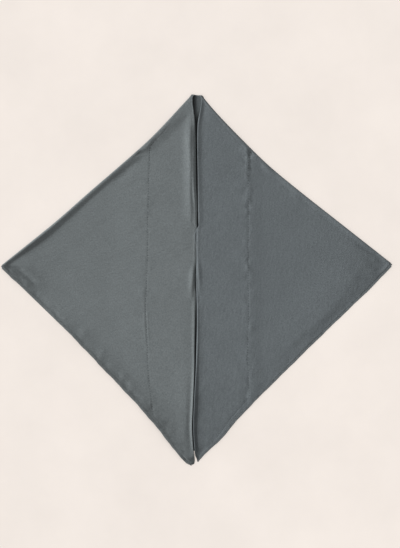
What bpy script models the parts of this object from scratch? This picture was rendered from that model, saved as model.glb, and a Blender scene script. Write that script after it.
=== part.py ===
"""Instant hijab laid flat: a triangle of cloth folded into a square that stands on one corner.

The long edge of the triangle is the face and front edge. Its two ends are folded over along the upper edges
of the square, so that the two fronts lie on the back and meet on the centre line. A facing is turned in along
the long edge, and the two lower edges are hemmed.

Frame: +X to the right, +Y towards the top of the head, +Z up from the surface that the garment lies on.
"""

import math

import bmesh
import bpy
from mathutils import Vector

# Driving dimensions, in metres
WALL = 0.0010  # thickness of the cloth
GAP = 0.0003  # air between two layers, and between a panel and its hem
LAYER = WALL + GAP
FACING_WIDTH = 0.108  # how far the facing reaches in from the face edge
FACING_INSET = 0.006  # from the cloth's edge to the facing's edge
FACING_OUTER_INSET = 0.006  # from the cloth's fold or hem to the facing, where that is not turned over too
HEM_WIDTH = 0.006
HEM_GAP = 0.0005  # between the cloth's edge and its hem, measured across the hem
HEM_LIFT = 0.0004  # how far the hem of a front stands above the cloth
PUFF = 0.0012  # how far a front stands off the back by itself
BACK_CORNER_Y = -0.374  # the hidden lower corner of the back
BACK_CORNER_HALF = 0.006

# The garment's outline, seen from above. Each station is a point of the left outline and one of the right.
# It runs from the top corner down the two folds to the side tips, then down the two hems to the bottom.
# station, left x, left y, right x, right y
OUTLINE = (
    ("top", -0.0100, 0.4055, 0.0120, 0.4035),
    ("crown", -0.0218, 0.3930, 0.0195, 0.3930),
    ("stitch row", -0.1084, 0.3020, 0.1040, 0.3020),
    ("below the stitch row", -0.1675, 0.2497, 0.1588, 0.2497),
    ("upper middle", -0.2289, 0.1970, 0.2223, 0.1970),
    ("shoulder", -0.3033, 0.1314, 0.3055, 0.1314),
    ("side tip", -0.4285, 0.0290, 0.4285, 0.0330),
    ("hem upper", -0.3296, -0.0657, 0.3296, -0.0657),
    ("hem middle", -0.2157, -0.1840, 0.2070, -0.1840),
    ("hem lower", -0.0930, -0.3150, 0.0799, -0.3150),
    ("hem end", -0.0315, -0.3900, 0.0164, -0.3830),
    ("bottom", -0.0140, -0.4055, 0.0055, -0.3965),
)
SIDE_TIP = 6  # the folds end at this station, and the hems start

# How far down from each station the rows of the wall lie, as shares of the way to the next station
ROW_SHARES = (
    (0.0, 0.5),
    (0.0, 0.12, 0.28, 0.46, 0.64, 0.82),
    (0.0, 0.20, 0.45, 0.70),
    (0.0, 0.50),
    (0.0, 0.33, 0.66),
    (0.0, 0.16, 0.45, 0.75),
    (0.0, 0.09, 0.24, 0.46, 0.72),
    (0.0, 0.25, 0.50, 0.75),
    (0.0, 0.25, 0.50, 0.75),
    (0.0, 0.25, 0.50, 0.75),
    (0.0, 0.50, 1.0),
)

# The two face edges, which part at the top in a V and meet at the chin seam
# y, left edge x, right edge x
FACE_EDGES = (
    (0.405, -0.0030, 0.0042),
    (0.397, -0.0074, 0.0086),
    (0.366, -0.0056, 0.0052),
    (0.345, -0.0034, 0.0024),
    (0.300, -0.0022, 0.0018),
    (0.175, -0.0002, 0.0036),
    (0.128, 0.0002, 0.0034),
    (0.116, -0.0007, -0.0007),
    (0.027, -0.0007, -0.0007),
    (0.012, -0.0016, 0.0008),
    (-0.022, -0.0034, -0.0008),
    (-0.153, -0.0034, -0.0006),
    (-0.208, -0.0060, -0.0033),
    (-0.263, -0.0080, -0.0052),
    (-0.328, -0.0080, -0.0052),
    (-0.372, -0.0060, -0.0032),
    (-0.400, -0.0050, -0.0010),
)
SEAM_TOP = 0.118
SEAM_BOTTOM = 0.024

# Columns of a front: distances from the face edge, shares of the plain stretch, distances from the outer edge
NEAR_COLUMNS = (0.0, 0.0025, 0.006, 0.011, 0.017, 0.024, 0.034, 0.055, 0.080, 0.102, 0.112, 0.125)
MIDDLE_SHARES = (0.25, 0.50, 0.75)
RIM_COLUMNS = (0.020, 0.010, 0.004, 0.0)
FULL_WIDTH = 0.180  # a narrower front has its columns drawn together in proportion
FRONT_COLUMNS = len(NEAR_COLUMNS) + len(MIDDLE_SHARES) + len(RIM_COLUMNS)
BACK_COLUMNS = 9
ROLL_SEGMENTS = 5  # steps round a fold
FACING_COLUMNS = 8  # across the facing of one front
FACING_BACK_COLUMNS = 5
HEM_COLUMNS = 3

# Height of each fold's roll, middle to middle of the wall. It is tight at the top, where the facing fills it.
# y, left, right
FOLD_HEIGHT = (
    (0.300, 0.0044, 0.0044),
    (0.260, 0.0044, 0.0038),
    (0.040, 0.0046, 0.0034),
)
FOLD_SLANT = 1.45  # a fold runs about 46 degrees off the rows, so its roll is this much wider along a row
FOLD_ROOM = 0.0005  # more height where the facing turns over inside the fold
FOLD_REACH = 0.012  # over which a front comes down from its fold
TIP_REACH = 0.030  # over which the lift of the fold dies away below the side tip

EDGE_DROP = 0.0008  # how far the face edge turns down
EDGE_REACH = 0.006
STEP_START = 0.004  # how far beyond the facing's edge a front starts to come down to the back
STEP_REACH = 0.012  # over which it comes down
CORNER_DROP_Y = -0.384  # below this the fronts' corners come down to the surface
CORNER_REACH = 0.012

# The largest creases and ridges of the fronts, each along a straight line
# start x, start y, end x, end y, height, half width
CREASES = (
    (-0.0208, 0.350, -0.0208, 0.148, 0.0042, 0.0090),  # ridge beside the face slit
    (-0.0080, 0.384, -0.0060, 0.350, 0.0012, 0.0070),  # left rim of the V
    (0.0090, 0.384, 0.0060, 0.340, 0.0012, 0.0060),  # right rim of the V
    (-0.0150, 0.018, -0.0150, -0.040, 0.0016, 0.0070),  # swelling left of the dimple
    (0.0045, 0.020, 0.0060, -0.015, 0.0012, 0.0040),  # fold right of the dimple
    (-0.0020, -0.150, -0.0065, -0.385, 0.0008, 0.0030),  # rolled right edge
    (-0.1310, 0.276, -0.1010, 0.285, -0.0010, 0.0060),  # pucker at the left stitch row's upper end
    (0.1040, 0.284, 0.1220, 0.262, -0.0010, 0.0060),  # pucker at the right stitch row's upper end
    (0.3580, 0.072, 0.4040, 0.048, -0.0010, 0.0080),  # crease in the right tip
    (0.1280, -0.263, 0.3800, -0.020, -0.0009, 0.0140),  # broad trough above the right hem
)

CLOTH_COLOUR = (0.130, 0.148, 0.154, 1.0)
FACING_COLOUR = (0.112, 0.128, 0.134, 1.0)
HEM_COLOUR = (0.122, 0.139, 0.145, 1.0)
LEFT, RIGHT = -1, 1


def smooth(value):
    """Rise from 0 to 1 as the value goes from 0 to 1."""
    value = min(1.0, max(0.0, value))
    return value * value * (3.0 - 2.0 * value)


def between(table, key, column):
    """Read a column of a table whose first column falls from row to row."""
    if key >= table[0][0]:
        return table[0][column]
    for upper, lower in zip(table, table[1:]):
        if key >= lower[0]:
            share = (upper[0] - key) / (upper[0] - lower[0])
            return upper[column] + (lower[column] - upper[column]) * share
    return table[-1][column]


def outer_point(side, station):
    """Where the cloth ends at a station: on the outline at a fold, and inside the hem below the side tips."""
    row = OUTLINE[station]
    point = Vector(row[1:3] if side == LEFT else row[3:5])
    if station < SIDE_TIP:
        return point
    return point - hem_direction(side) * (HEM_WIDTH + HEM_GAP)


def hem_direction(side):
    """The way out across a lower edge."""
    return Vector((side, -1.0)).normalized()


def back_outer_point(side, y):
    """Where the back ends beside a front's outer point at this height: its lower edges are straight."""
    tip, bottom = outer_point(side, SIDE_TIP), outer_point(side, len(OUTLINE) - 1)
    corner = Vector((side * BACK_CORNER_HALF, BACK_CORNER_Y))
    return tip.lerp(corner, (tip.y - y) / (tip.y - bottom.y))


class Row:
    """One row of the folded cloth, straight from the left outline to the right one."""

    def __init__(self, station, share):
        following = min(station + 1, len(OUTLINE) - 1)
        self.folded = station < SIDE_TIP or (station == SIDE_TIP and share == 0.0)
        self.outer = {}
        self.back = {}
        for side in (LEFT, RIGHT):
            self.outer[side] = outer_point(side, station).lerp(outer_point(side, following), share)
            if not self.folded:
                self.back[side] = back_outer_point(side, self.outer[side].y)
        self.y = self.y_at(0.0)
        self.seamed = SEAM_BOTTOM < self.y < SEAM_TOP

    def y_at(self, x):
        left, right = self.outer[LEFT], self.outer[RIGHT]
        return left.y + (right.y - left.y) * (x - left.x) / (right.x - left.x)

    def fold_height(self, side):
        return between(FOLD_HEIGHT, self.outer[side].y, 1 if side == LEFT else 2)

    def front_end(self, side):
        """Where a front's plain stretch ends: at the start of its fold, or at its hem."""
        x = self.outer[side].x
        if not self.folded:
            return x
        return x - side * (self.fold_height(side) + WALL) / 2 * FOLD_SLANT

    def face_edge(self, side):
        return between(FACE_EDGES, self.y, 1 if side == LEFT else 2)

    def front_width(self, side):
        return abs(self.front_end(side) - self.face_edge(side))

    def facing_folded(self, side):
        """Whether the facing is as wide as the front here, and so is folded over with it."""
        return self.folded and self.front_width(side) <= FACING_WIDTH


def make_rows():
    rows = []
    for station, shares in enumerate(ROW_SHARES):
        rows += [Row(station, share) for share in shares]
    return rows


def column_offsets(width):
    """Distances of a front's columns from its face edge."""
    scale = min(1.0, width / FULL_WIDTH)
    near = [offset * scale for offset in NEAR_COLUMNS]
    rim = [width - offset * scale for offset in RIM_COLUMNS]
    middle = [near[-1] + (rim[0] - near[-1]) * share for share in MIDDLE_SHARES]
    return near + middle + rim


def crease_height(x, y):
    """Sum of the creases at a point: each is a soft ridge or trough that fades at both ends."""
    total = 0.0
    for start_x, start_y, end_x, end_y, height, half_width in CREASES:
        along = Vector((end_x - start_x, end_y - start_y))
        offset = Vector((x - start_x, y - start_y))
        share = min(1.0, max(0.0, offset.dot(along) / along.length_squared))
        distance = (offset - along * share).length
        total += height * math.exp(-((distance / half_width) ** 2))
    return total


def back_faced(y):
    """1 where the facing also lies on the back, near the top corner."""
    return smooth((y - 0.262) / 0.030)


def relief(row, side, offset, x, y):
    """How far a front stands above its flat layer."""
    width = row.front_width(side)
    puff = PUFF * smooth(offset / 0.025) * smooth((width - offset) / 0.025)
    flat_rim = smooth((width - offset) / min(0.012, width / 2))
    return max(0.0, puff + crease_height(x, y) * flat_rim)


def front_level(row, side, offset, y):
    """Height of a front's flat layer: on the back, or on the facing, which near the top is there twice."""
    faced = 1.0 - smooth((offset - FACING_WIDTH - STEP_START) / STEP_REACH)
    layers = 1.0 + faced * (1.0 + back_faced(y))
    layers *= 1.0 - smooth((CORNER_DROP_Y - y) / CORNER_REACH)
    return WALL / 2 + LAYER * layers + FOLD_ROOM * faced * back_faced(y)


def front_height(row, side, offset, x, y):
    """Height of the middle of a front's wall."""
    width = row.front_width(side)
    level = front_level(row, side, offset, y)
    lift = WALL / 2 + row.fold_height(side) - front_level(row, side, width, y)
    lift *= 1.0 - smooth((OUTLINE[SIDE_TIP][2] - y) / TIP_REACH)
    lift *= 1.0 - smooth((width - offset) / (FOLD_REACH * FOLD_SLANT))
    drop = EDGE_DROP * (1.0 - smooth(offset / min(EDGE_REACH, width / 2)))
    return max(WALL / 2, level + lift + relief(row, side, offset, x, y) - drop)


def front_point(row, side, column):
    offset = column_offsets(row.front_width(side))[column]
    x = row.face_edge(side) + side * offset
    y = row.y_at(x)
    return Vector((x, y, front_height(row, side, offset, x, y)))


def roll_point(row, side, step, top, bottom, end_x):
    """A point of a fold: half a turn from the front's height down to the back's."""
    angle = math.pi * step / ROLL_SEGMENTS
    radius = (top - bottom) / 2
    x = end_x + side * radius * FOLD_SLANT * math.sin(angle)
    return Vector((x, row.y_at(x), (top + bottom) / 2 + radius * math.cos(angle)))


def cloth_roll_point(row, side, step):
    top = front_point(row, side, FRONT_COLUMNS - 1).z
    return roll_point(row, side, step, top, WALL / 2, row.front_end(side))


def back_point(row, column):
    share = column / (BACK_COLUMNS - 1)
    if row.folded:
        x = row.front_end(LEFT) + (row.front_end(RIGHT) - row.front_end(LEFT)) * share
        return Vector((x, row.y_at(x), WALL / 2))
    point = row.back[LEFT].lerp(row.back[RIGHT], share)
    return Vector((point.x, point.y, WALL / 2))


def strip_of(column, front_columns, back_columns):
    """Which strip of the folded sheet a column is in, and its number there."""
    strips = (
        ("left front", front_columns),
        ("left roll", ROLL_SEGMENTS - 1),
        ("back", back_columns),
        ("right roll", ROLL_SEGMENTS - 1),
        ("right front", front_columns),
    )
    for name, count in strips:
        if column < count:
            return name, column
        column -= count
    raise ValueError("no such column")


def cloth_point(row, column):
    strip, number = strip_of(column, FRONT_COLUMNS, BACK_COLUMNS)
    if strip == "left front":
        return front_point(row, LEFT, number)
    if strip == "left roll":
        return cloth_roll_point(row, LEFT, number + 1)
    if strip == "back":
        return back_point(row, number)
    if strip == "right roll":
        return cloth_roll_point(row, RIGHT, ROLL_SEGMENTS - 1 - number)
    return front_point(row, RIGHT, FRONT_COLUMNS - 1 - number)


def facing_offset(row, side, column):
    """Distance of a facing column from the cloth's face edge."""
    width = row.front_width(side)
    inset = min(FACING_INSET, width / 2)
    reach = width if row.facing_folded(side) else min(FACING_WIDTH, width - FACING_OUTER_INSET)
    return inset + (reach - inset) * column / (FACING_COLUMNS - 1)


def facing_front_point(row, side, column):
    offset = facing_offset(row, side, column)
    x = row.face_edge(side) + side * offset
    y = row.y_at(x)
    height = WALL / 2 + LAYER + (LAYER + FOLD_ROOM) * back_faced(y)
    return Vector((x, y, height + 0.5 * relief(row, side, offset, x, y) * (1.0 - back_faced(y))))


def facing_point(row, column):
    strip, number = strip_of(column, FACING_COLUMNS, FACING_BACK_COLUMNS)
    if strip == "left front":
        return facing_front_point(row, LEFT, number)
    if strip == "right front":
        return facing_front_point(row, RIGHT, FACING_COLUMNS - 1 - number)
    left = facing_front_point(row, LEFT, FACING_COLUMNS - 1)
    right = facing_front_point(row, RIGHT, FACING_COLUMNS - 1)
    bottom = WALL / 2 + LAYER
    if strip == "left roll":
        return roll_point(row, LEFT, number + 1, left.z, bottom, left.x)
    if strip == "right roll":
        return roll_point(row, RIGHT, ROLL_SEGMENTS - 1 - number, right.z, bottom, right.x)
    x = left.x + (right.x - left.x) * number / (FACING_BACK_COLUMNS - 1)
    return Vector((x, row.y_at(x), bottom))


def make_material(name, colour):
    material = bpy.data.materials.new(name)
    material.use_nodes = True
    shader = material.node_tree.nodes["Principled BSDF"]
    shader.inputs["Base Color"].default_value = colour
    shader.inputs["Roughness"].default_value = 0.85
    shader.inputs["Metallic"].default_value = 0.0
    return material


def add_wall(name, bm, material, collection):
    """Give an open surface the cloth's thickness, half to each side."""
    mesh = bpy.data.meshes.new(name)
    bm.to_mesh(mesh)
    bm.free()
    mesh.shade_smooth()
    mesh.materials.append(material)
    piece = bpy.data.objects.new(name, mesh)
    collection.objects.link(piece)
    solidify = piece.modifiers.new("wall", "SOLIDIFY")
    solidify.thickness = WALL
    solidify.offset = 0.0
    solidify.use_even_offset = True
    return piece


def grid_surface(rows, columns, point):
    """A flat grid whose vertices are moved to their places. Returns it with its vertices by row and column."""
    bm = bmesh.new()
    bmesh.ops.create_grid(bm, x_segments=columns - 1, y_segments=len(rows) - 1, size=1.0)
    by_place = {}
    for vertex in bm.verts:
        column = round((vertex.co.x + 1.0) / 2.0 * (columns - 1))
        number = round((1.0 - vertex.co.y) / 2.0 * (len(rows) - 1))
        by_place[number, column] = vertex
    for (number, column), vertex in by_place.items():
        vertex.co = point(rows[number], column)
    return bm, by_place


def cut_away(bm, by_place, rows, columns, is_cut):
    """Remove the faces between neighbouring columns where the sheet is cut."""
    cut = set()
    for number in range(len(rows) - 1):
        for column in range(columns - 1):
            if is_cut(rows[number], rows[number + 1], column):
                corners = {by_place[number + a, column + b] for a in (0, 1) for b in (0, 1)}
                cut |= {face for face in by_place[number, column].link_faces if set(face.verts) == corners}
    bmesh.ops.delete(bm, geom=list(cut), context="FACES")


def make_cloth(rows, collection):
    """The triangle, folded over along its two upper edges and seamed under the chin."""
    columns = 2 * FRONT_COLUMNS + 2 * (ROLL_SEGMENTS - 1) + BACK_COLUMNS
    bm, by_place = grid_surface(rows, columns, cloth_point)

    def is_cut(row, lower_row, column):
        if lower_row.folded:
            return False
        pair = {strip_of(c, FRONT_COLUMNS, BACK_COLUMNS)[0] for c in (column, column + 1)}
        return len(pair) == 2 or "roll" in pair.pop()

    cut_away(bm, by_place, rows, columns, is_cut)
    seam = [
        by_place[number, column]
        for number, row in enumerate(rows)
        if row.seamed
        for column in (0, columns - 1)
    ]
    bmesh.ops.remove_doubles(bm, verts=seam, dist=0.0001)
    material = make_material("cloth", CLOTH_COLOUR)
    return add_wall("cloth", bm, material, collection)


def make_facing(rows, collection):
    """The band turned in along the face edge. It follows the cloth round the top of the two folds."""
    rows = rows[1:-3]
    columns = 2 * FACING_COLUMNS + 2 * (ROLL_SEGMENTS - 1) + FACING_BACK_COLUMNS
    bm, by_place = grid_surface(rows, columns, facing_point)

    def is_cut(row, lower_row, column):
        if lower_row.facing_folded(LEFT) and lower_row.facing_folded(RIGHT):
            return False
        pair = {strip_of(c, FACING_COLUMNS, FACING_BACK_COLUMNS)[0] for c in (column, column + 1)}
        return len(pair) == 2 or "front" not in pair.pop()

    cut_away(bm, by_place, rows, columns, is_cut)
    material = make_material("facing", FACING_COLOUR)
    return add_wall("facing", bm, material, collection)


def hem_path(rows, side):
    """The cut edge of one side: up the front to the side tip, round the fold, and down the back."""
    lower = [row for row in rows if not row.folded]
    tip = [row for row in rows if row.folded][-1]
    path = [front_point(row, side, FRONT_COLUMNS - 1) for row in reversed(lower)]
    path += [cloth_roll_point(tip, side, step) for step in range(ROLL_SEGMENTS + 1)]
    column = 0 if side == LEFT else BACK_COLUMNS - 1
    path += [back_point(row, column) for row in lower]
    return path


def make_hem(name, rows, side, collection):
    """A narrow hem, made from the cloth's own edge moved out."""
    path = hem_path(rows, side)
    direction = hem_direction(side).to_3d()

    def point(place, column):
        moved = place + direction * (HEM_GAP + HEM_WIDTH * column / (HEM_COLUMNS - 1))
        moved.z += HEM_LIFT * smooth((place.z - WALL / 2) / LAYER)
        return moved

    bm, _ = grid_surface(path, HEM_COLUMNS, point)
    material = make_material(name, HEM_COLOUR)
    return add_wall(name, bm, material, collection)


def main():
    for old in list(bpy.data.objects):
        bpy.data.objects.remove(old, do_unlink=True)
    collection = bpy.data.collections.new("instant_hijab")
    bpy.context.scene.collection.children.link(collection)
    rows = make_rows()
    make_cloth(rows, collection)
    make_facing(rows, collection)
    make_hem("hem_left", rows, LEFT, collection)
    make_hem("hem_right", rows, RIGHT, collection)


main()
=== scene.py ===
import math

import bpy
import numpy as np
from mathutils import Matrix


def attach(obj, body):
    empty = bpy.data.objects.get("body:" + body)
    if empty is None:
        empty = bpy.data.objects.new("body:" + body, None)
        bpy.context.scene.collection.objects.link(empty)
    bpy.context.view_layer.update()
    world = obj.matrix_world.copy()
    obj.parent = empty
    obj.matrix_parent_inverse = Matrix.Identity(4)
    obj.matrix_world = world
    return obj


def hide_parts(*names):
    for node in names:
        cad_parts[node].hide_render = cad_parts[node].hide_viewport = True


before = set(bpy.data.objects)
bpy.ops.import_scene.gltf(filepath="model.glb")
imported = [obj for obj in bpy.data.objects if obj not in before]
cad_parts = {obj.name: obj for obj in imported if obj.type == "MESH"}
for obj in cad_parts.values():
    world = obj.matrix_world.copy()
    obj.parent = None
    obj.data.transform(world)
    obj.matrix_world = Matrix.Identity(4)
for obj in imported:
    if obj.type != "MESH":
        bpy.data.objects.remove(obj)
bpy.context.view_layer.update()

# Camera: it looks straight down on the garment, which lies on the floor with the top of the head up.
# The picture is 400 x 548 pixels, and one pixel is 2.19 mm of the floor.
PICTURE_HEIGHT = 548
PIXEL = 0.00219
PICTURE_CENTRE = (0.0077, 0.0131)
LENS = 85.0
SENSOR = 36.0
camera_data = bpy.data.cameras.new("camera")
camera_data.lens = LENS
camera_data.sensor_width = SENSOR
camera_data.clip_end = 50.0
camera = bpy.data.objects.new("camera", camera_data)
camera.location = (*PICTURE_CENTRE, PICTURE_HEIGHT * PIXEL * LENS / SENSOR)
bpy.context.scene.collection.objects.link(camera)
bpy.context.scene.camera = camera

# Light: a pale room all round, a large soft light straight above the floor, and one low on the left for the
# garment alone, so its creases show and it throws no long shadow on the floor.
ROOM_COLOUR = (1.0, 0.985, 0.97, 1.0)
ROOM_STRENGTH = 0.50
SIDE_LIGHT = (math.radians(162.0), math.radians(17.0), 0.40, 5.2)  # turn, rise, spread, strength
TOP_LIGHT = (0.0, math.pi / 2, 0.60, 1.60)
room = bpy.data.worlds.new("room")
room.use_nodes = True
room.node_tree.nodes["Background"].inputs["Color"].default_value = ROOM_COLOUR
room.node_tree.nodes["Background"].inputs["Strength"].default_value = ROOM_STRENGTH
bpy.context.scene.world = room
bpy.context.scene.view_settings.view_transform = "Standard"


def far_light(name, turn, rise, spread, strength):
    """A far soft light for one group of things. It is turned round the garment and raised."""
    data = bpy.data.lights.new(name, "SUN")
    data.angle = spread
    data.energy = strength
    light = bpy.data.objects.new(name, data)
    light.rotation_euler = (0.0, math.pi / 2 - rise, turn)
    bpy.context.scene.collection.objects.link(light)
    lit = bpy.data.collections.new(name)
    light.light_linking.receiver_collection = lit
    return lit


lit_from_side = far_light("side_light", *SIDE_LIGHT)
lit_from_top = far_light("top_light", *TOP_LIGHT)

# Floor: a plain pale painted surface with a faint unevenness of tone. It isn't part of the garment.
FLOOR_COLOUR = (0.888, 0.820, 0.768, 1.0)
FLOOR_SIZE = 12.0
FLOOR_DROP = 0.0002  # it lies this far under the garment, so the two don't touch


def add_node(tree, kind, inputs=None, **settings):
    """A shader node with settings and inputs. An input is a number, a colour or another node's output."""
    node = tree.nodes.new(kind)
    for name, value in settings.items():
        setattr(node, name, value)
    for name, value in (inputs or {}).items():
        if isinstance(value, bpy.types.NodeSocket):
            tree.links.new(value, node.inputs[name])
        else:
            node.inputs[name].default_value = value
    return node


def noise(tree, where, scale, detail=2.0, roughness=0.5):
    """Value from 0 to 1 of a smooth random pattern. The scale is in patches per metre."""
    inputs = {"Vector": where, "Scale": scale, "Detail": detail, "Roughness": roughness}
    return add_node(tree, "ShaderNodeTexNoise", inputs).outputs["Fac"]


def arithmetic(tree, operation, a, b=0.0, c=0.0):
    node = add_node(tree, "ShaderNodeMath", {0: a, 1: b, 2: c}, operation=operation)
    return node.outputs[0]


def swing(tree, value, amount):
    """Turn a pattern from 0 to 1 into a factor around 1."""
    return arithmetic(tree, "MULTIPLY_ADD", value, 2 * amount, 1 - amount)


def start_material(name):
    material = bpy.data.materials.new(name)
    material.use_nodes = True
    tree = material.node_tree
    return material, tree, tree.nodes["Principled BSDF"]


def floor_material():
    material, tree, shader = start_material("floor")
    where = add_node(tree, "ShaderNodeTexCoord").outputs["Object"]
    tone = swing(tree, noise(tree, where, 4.5, 4.0, 0.60), 0.085)
    colour = add_node(tree, "ShaderNodeHueSaturation", {"Color": FLOOR_COLOUR, "Value": tone})
    tree.links.new(colour.outputs["Color"], shader.inputs["Base Color"])
    shader.inputs["Roughness"].default_value = 0.95
    shader.inputs["Specular IOR Level"].default_value = 0.1
    return material


bpy.ops.mesh.primitive_plane_add(size=FLOOR_SIZE, location=(0.0, 0.0, -FLOOR_DROP))
floor = bpy.context.object
floor.name = "floor"
floor.data.materials.append(floor_material())
lit_from_top.objects.link(floor)

# Cloth: one right-angled triangle of plain woven cloth, 1.63 m along its long edge. Both ends of that edge
# are folded over along the upper edges of the shape, so the two fronts lie on the back and meet on the
# centre line. There the long edge is turned under, and the fronts are seamed for 9 cm under the chin.
LEFT, RIGHT = -1, 1
WALL = 0.0007
BASE = 0.0005
LAYER = 0.0013  # one layer of cloth above another, middle to middle
HEM_WIDTH = 0.0055  # without its lap over the cloth
EDGE_INSET = HEM_WIDTH - 0.0008  # how far inside the outline the cloth's own edge lies, under its hem
TURN_RADIUS = 0.00065  # where the long edge turns under
TURN_DEPTH = 0.0055
FACED_LIFT = 0.0005  # more room where the turned-in band goes round the folds at the top
BACK_CORNER = (0.006, -0.374)

# Outline, face edges, stitch rows, folds and creases are in tenths of a millimetre, this many to a metre
TENTHS = 10000.0

# The outline seen from above, down from the top corner: left x, left y, right x, right y
OUTLINE = (
    (-100, 4055, 120, 4035),
    (-216, 3930, 202, 3930),
    (-1084, 3020, 1048, 3020),
    (-1675, 2497, 1588, 2497),
    (-2289, 1970, 2223, 1970),
    (-3033, 1314, 3055, 1314),
    (-4294, 290, 4296, 330),
    (-3790, -184, 3846, -142),
    (-3286, -652, 3304, -663),
    (-2140, -1834, 2096, -1842),
    (-924, -3150, 806, -3157),
    (-628, -3520, 518, -3500),
    (-322, -3903, 148, -3842),
    (-216, -4012, 86, -3920),
    (-134, -4084, 58, -4006),
)
SIDE_TIP = 6  # the folds end at this place of the outline, and the hems start
UPPER_ROWS = 106
LOWER_ROWS = 118
HEM_WAVES = ((0.00030, 87.0, 0.4), (0.00016, 231.0, 1.9))  # height, turns of angle per metre, start
HEM_WAVE_SHARE = {LEFT: 1.6, RIGHT: 1.0}

# The two face edges: y, left x, right x. They part in a V at the top and meet at the chin seam.
FACE_EDGES = (
    (4050, -38, 60),
    (4010, -76, 94),
    (3930, -87, 103),
    (3710, -66, 84),
    (3500, -40, 40),
    (3200, -26, 21),
    (2850, -18, 22),
    (2190, -16, 34),
    (1530, 10, 39),
    (1280, 5, 44),
    (1170, 8, 42),
    (1120, 3, 5),
    (600, 3, 5),
    (380, 0, 4),
    (260, -26, -3),
    (120, -34, -8),
    (0, -39, -11),
    (-120, -36, -6),
    (-220, -26, -1),
    (-880, -32, 14),
    (-1480, -44, 2),
    (-1970, -48, -12),
    (-2630, -73, -47),
    (-3280, -96, -64),
    (-3720, -66, -36),
    (-3840, -52, -22),
    (-3900, -42, 4),
    (-3970, -44, 13),
    (-4020, -68, 13),
    (-4060, -100, 13),
)

# The two rows of stitches that hold the turned-in band: y, left x, right x
STITCH_ROWS = (
    (2990, -1013, 1161),
    (2460, -1036, 1129),
    (1560, -1061, 1137),
    (740, -1069, 1127),
    (-100, -1097, 1129),
    (-670, -1117, 1137),
    (-1210, -1085, 1123),
    (-1780, -1069, 1121),
    (-2330, -1025, 1146),
    (-2900, -957, 1176),
)

# Height of the two folds, middle to middle of the cloth, and how far in they reach: y, left, right, reach
FOLDS = (
    (3930, 56, 48, 160),
    (3400, 80, 52, 250),
    (2900, 76, 50, 230),
    (2400, 56, 40, 145),
    (1900, 56, 36, 125),
    (1300, 66, 36, 120),
    (850, 78, 36, 108),
    (620, 63, 36, 100),
    (400, 44, 34, 100),
    (290, 38, 32, 100),
)
FOLD_SLANT = 1.42  # a fold runs at 45 degrees to the rows
TIP_REACH = 0.026  # over which the lift of the fold dies away below the side tip

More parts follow.
